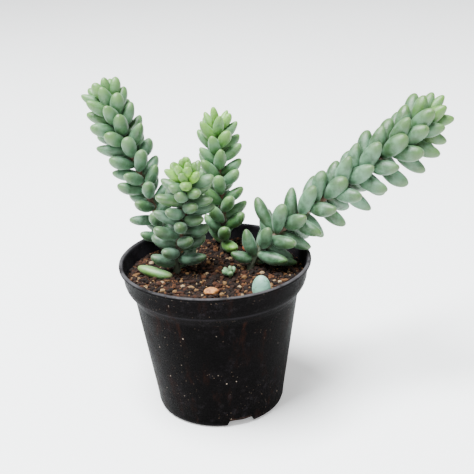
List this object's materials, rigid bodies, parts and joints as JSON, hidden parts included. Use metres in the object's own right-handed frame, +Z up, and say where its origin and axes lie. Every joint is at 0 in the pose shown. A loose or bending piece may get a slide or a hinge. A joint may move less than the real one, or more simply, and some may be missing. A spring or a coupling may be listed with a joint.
{
  "type": "potted burros tail plant",
  "caption": "Burro's tail succulent in a thin black nursery pot: trailing stems packed with plump blue-green leaves, standing in gritty potting mix.",
  "frame": {"origin": "centre of the pot's underside, on the surface that it stands on", "axes": "+Z up along the pot's axis; +X towards the side that the longest stem leans out over; -Y towards the front, where the short front stem and the loose pieces are"},
  "size_m": [0.2017, 0.1131, 0.1766],
  "materials": {
    "pot_plastic": "satin, with dust and scuffs",
    "mix": "matte coir, bark and grit",
    "leaf": "satin with a waxy bloom",
    "fallen_leaf": "satin",
    "stone": "matte stone",
    "brick": "matte fired clay"
  },
  "bodies": {
    "root": {"pot": "pot_plastic", "potting_mix": "mix", "stem_front": "leaf", "stem_back": "leaf", "stem_left": "leaf", "stem_right": "leaf", "fallen_leaf_left": "fallen_leaf", "fallen_leaf_right": "leaf", "seedling": "leaf", "pebble": "stone", "brick_chip": "brick"}
  },
  "joints": []
}
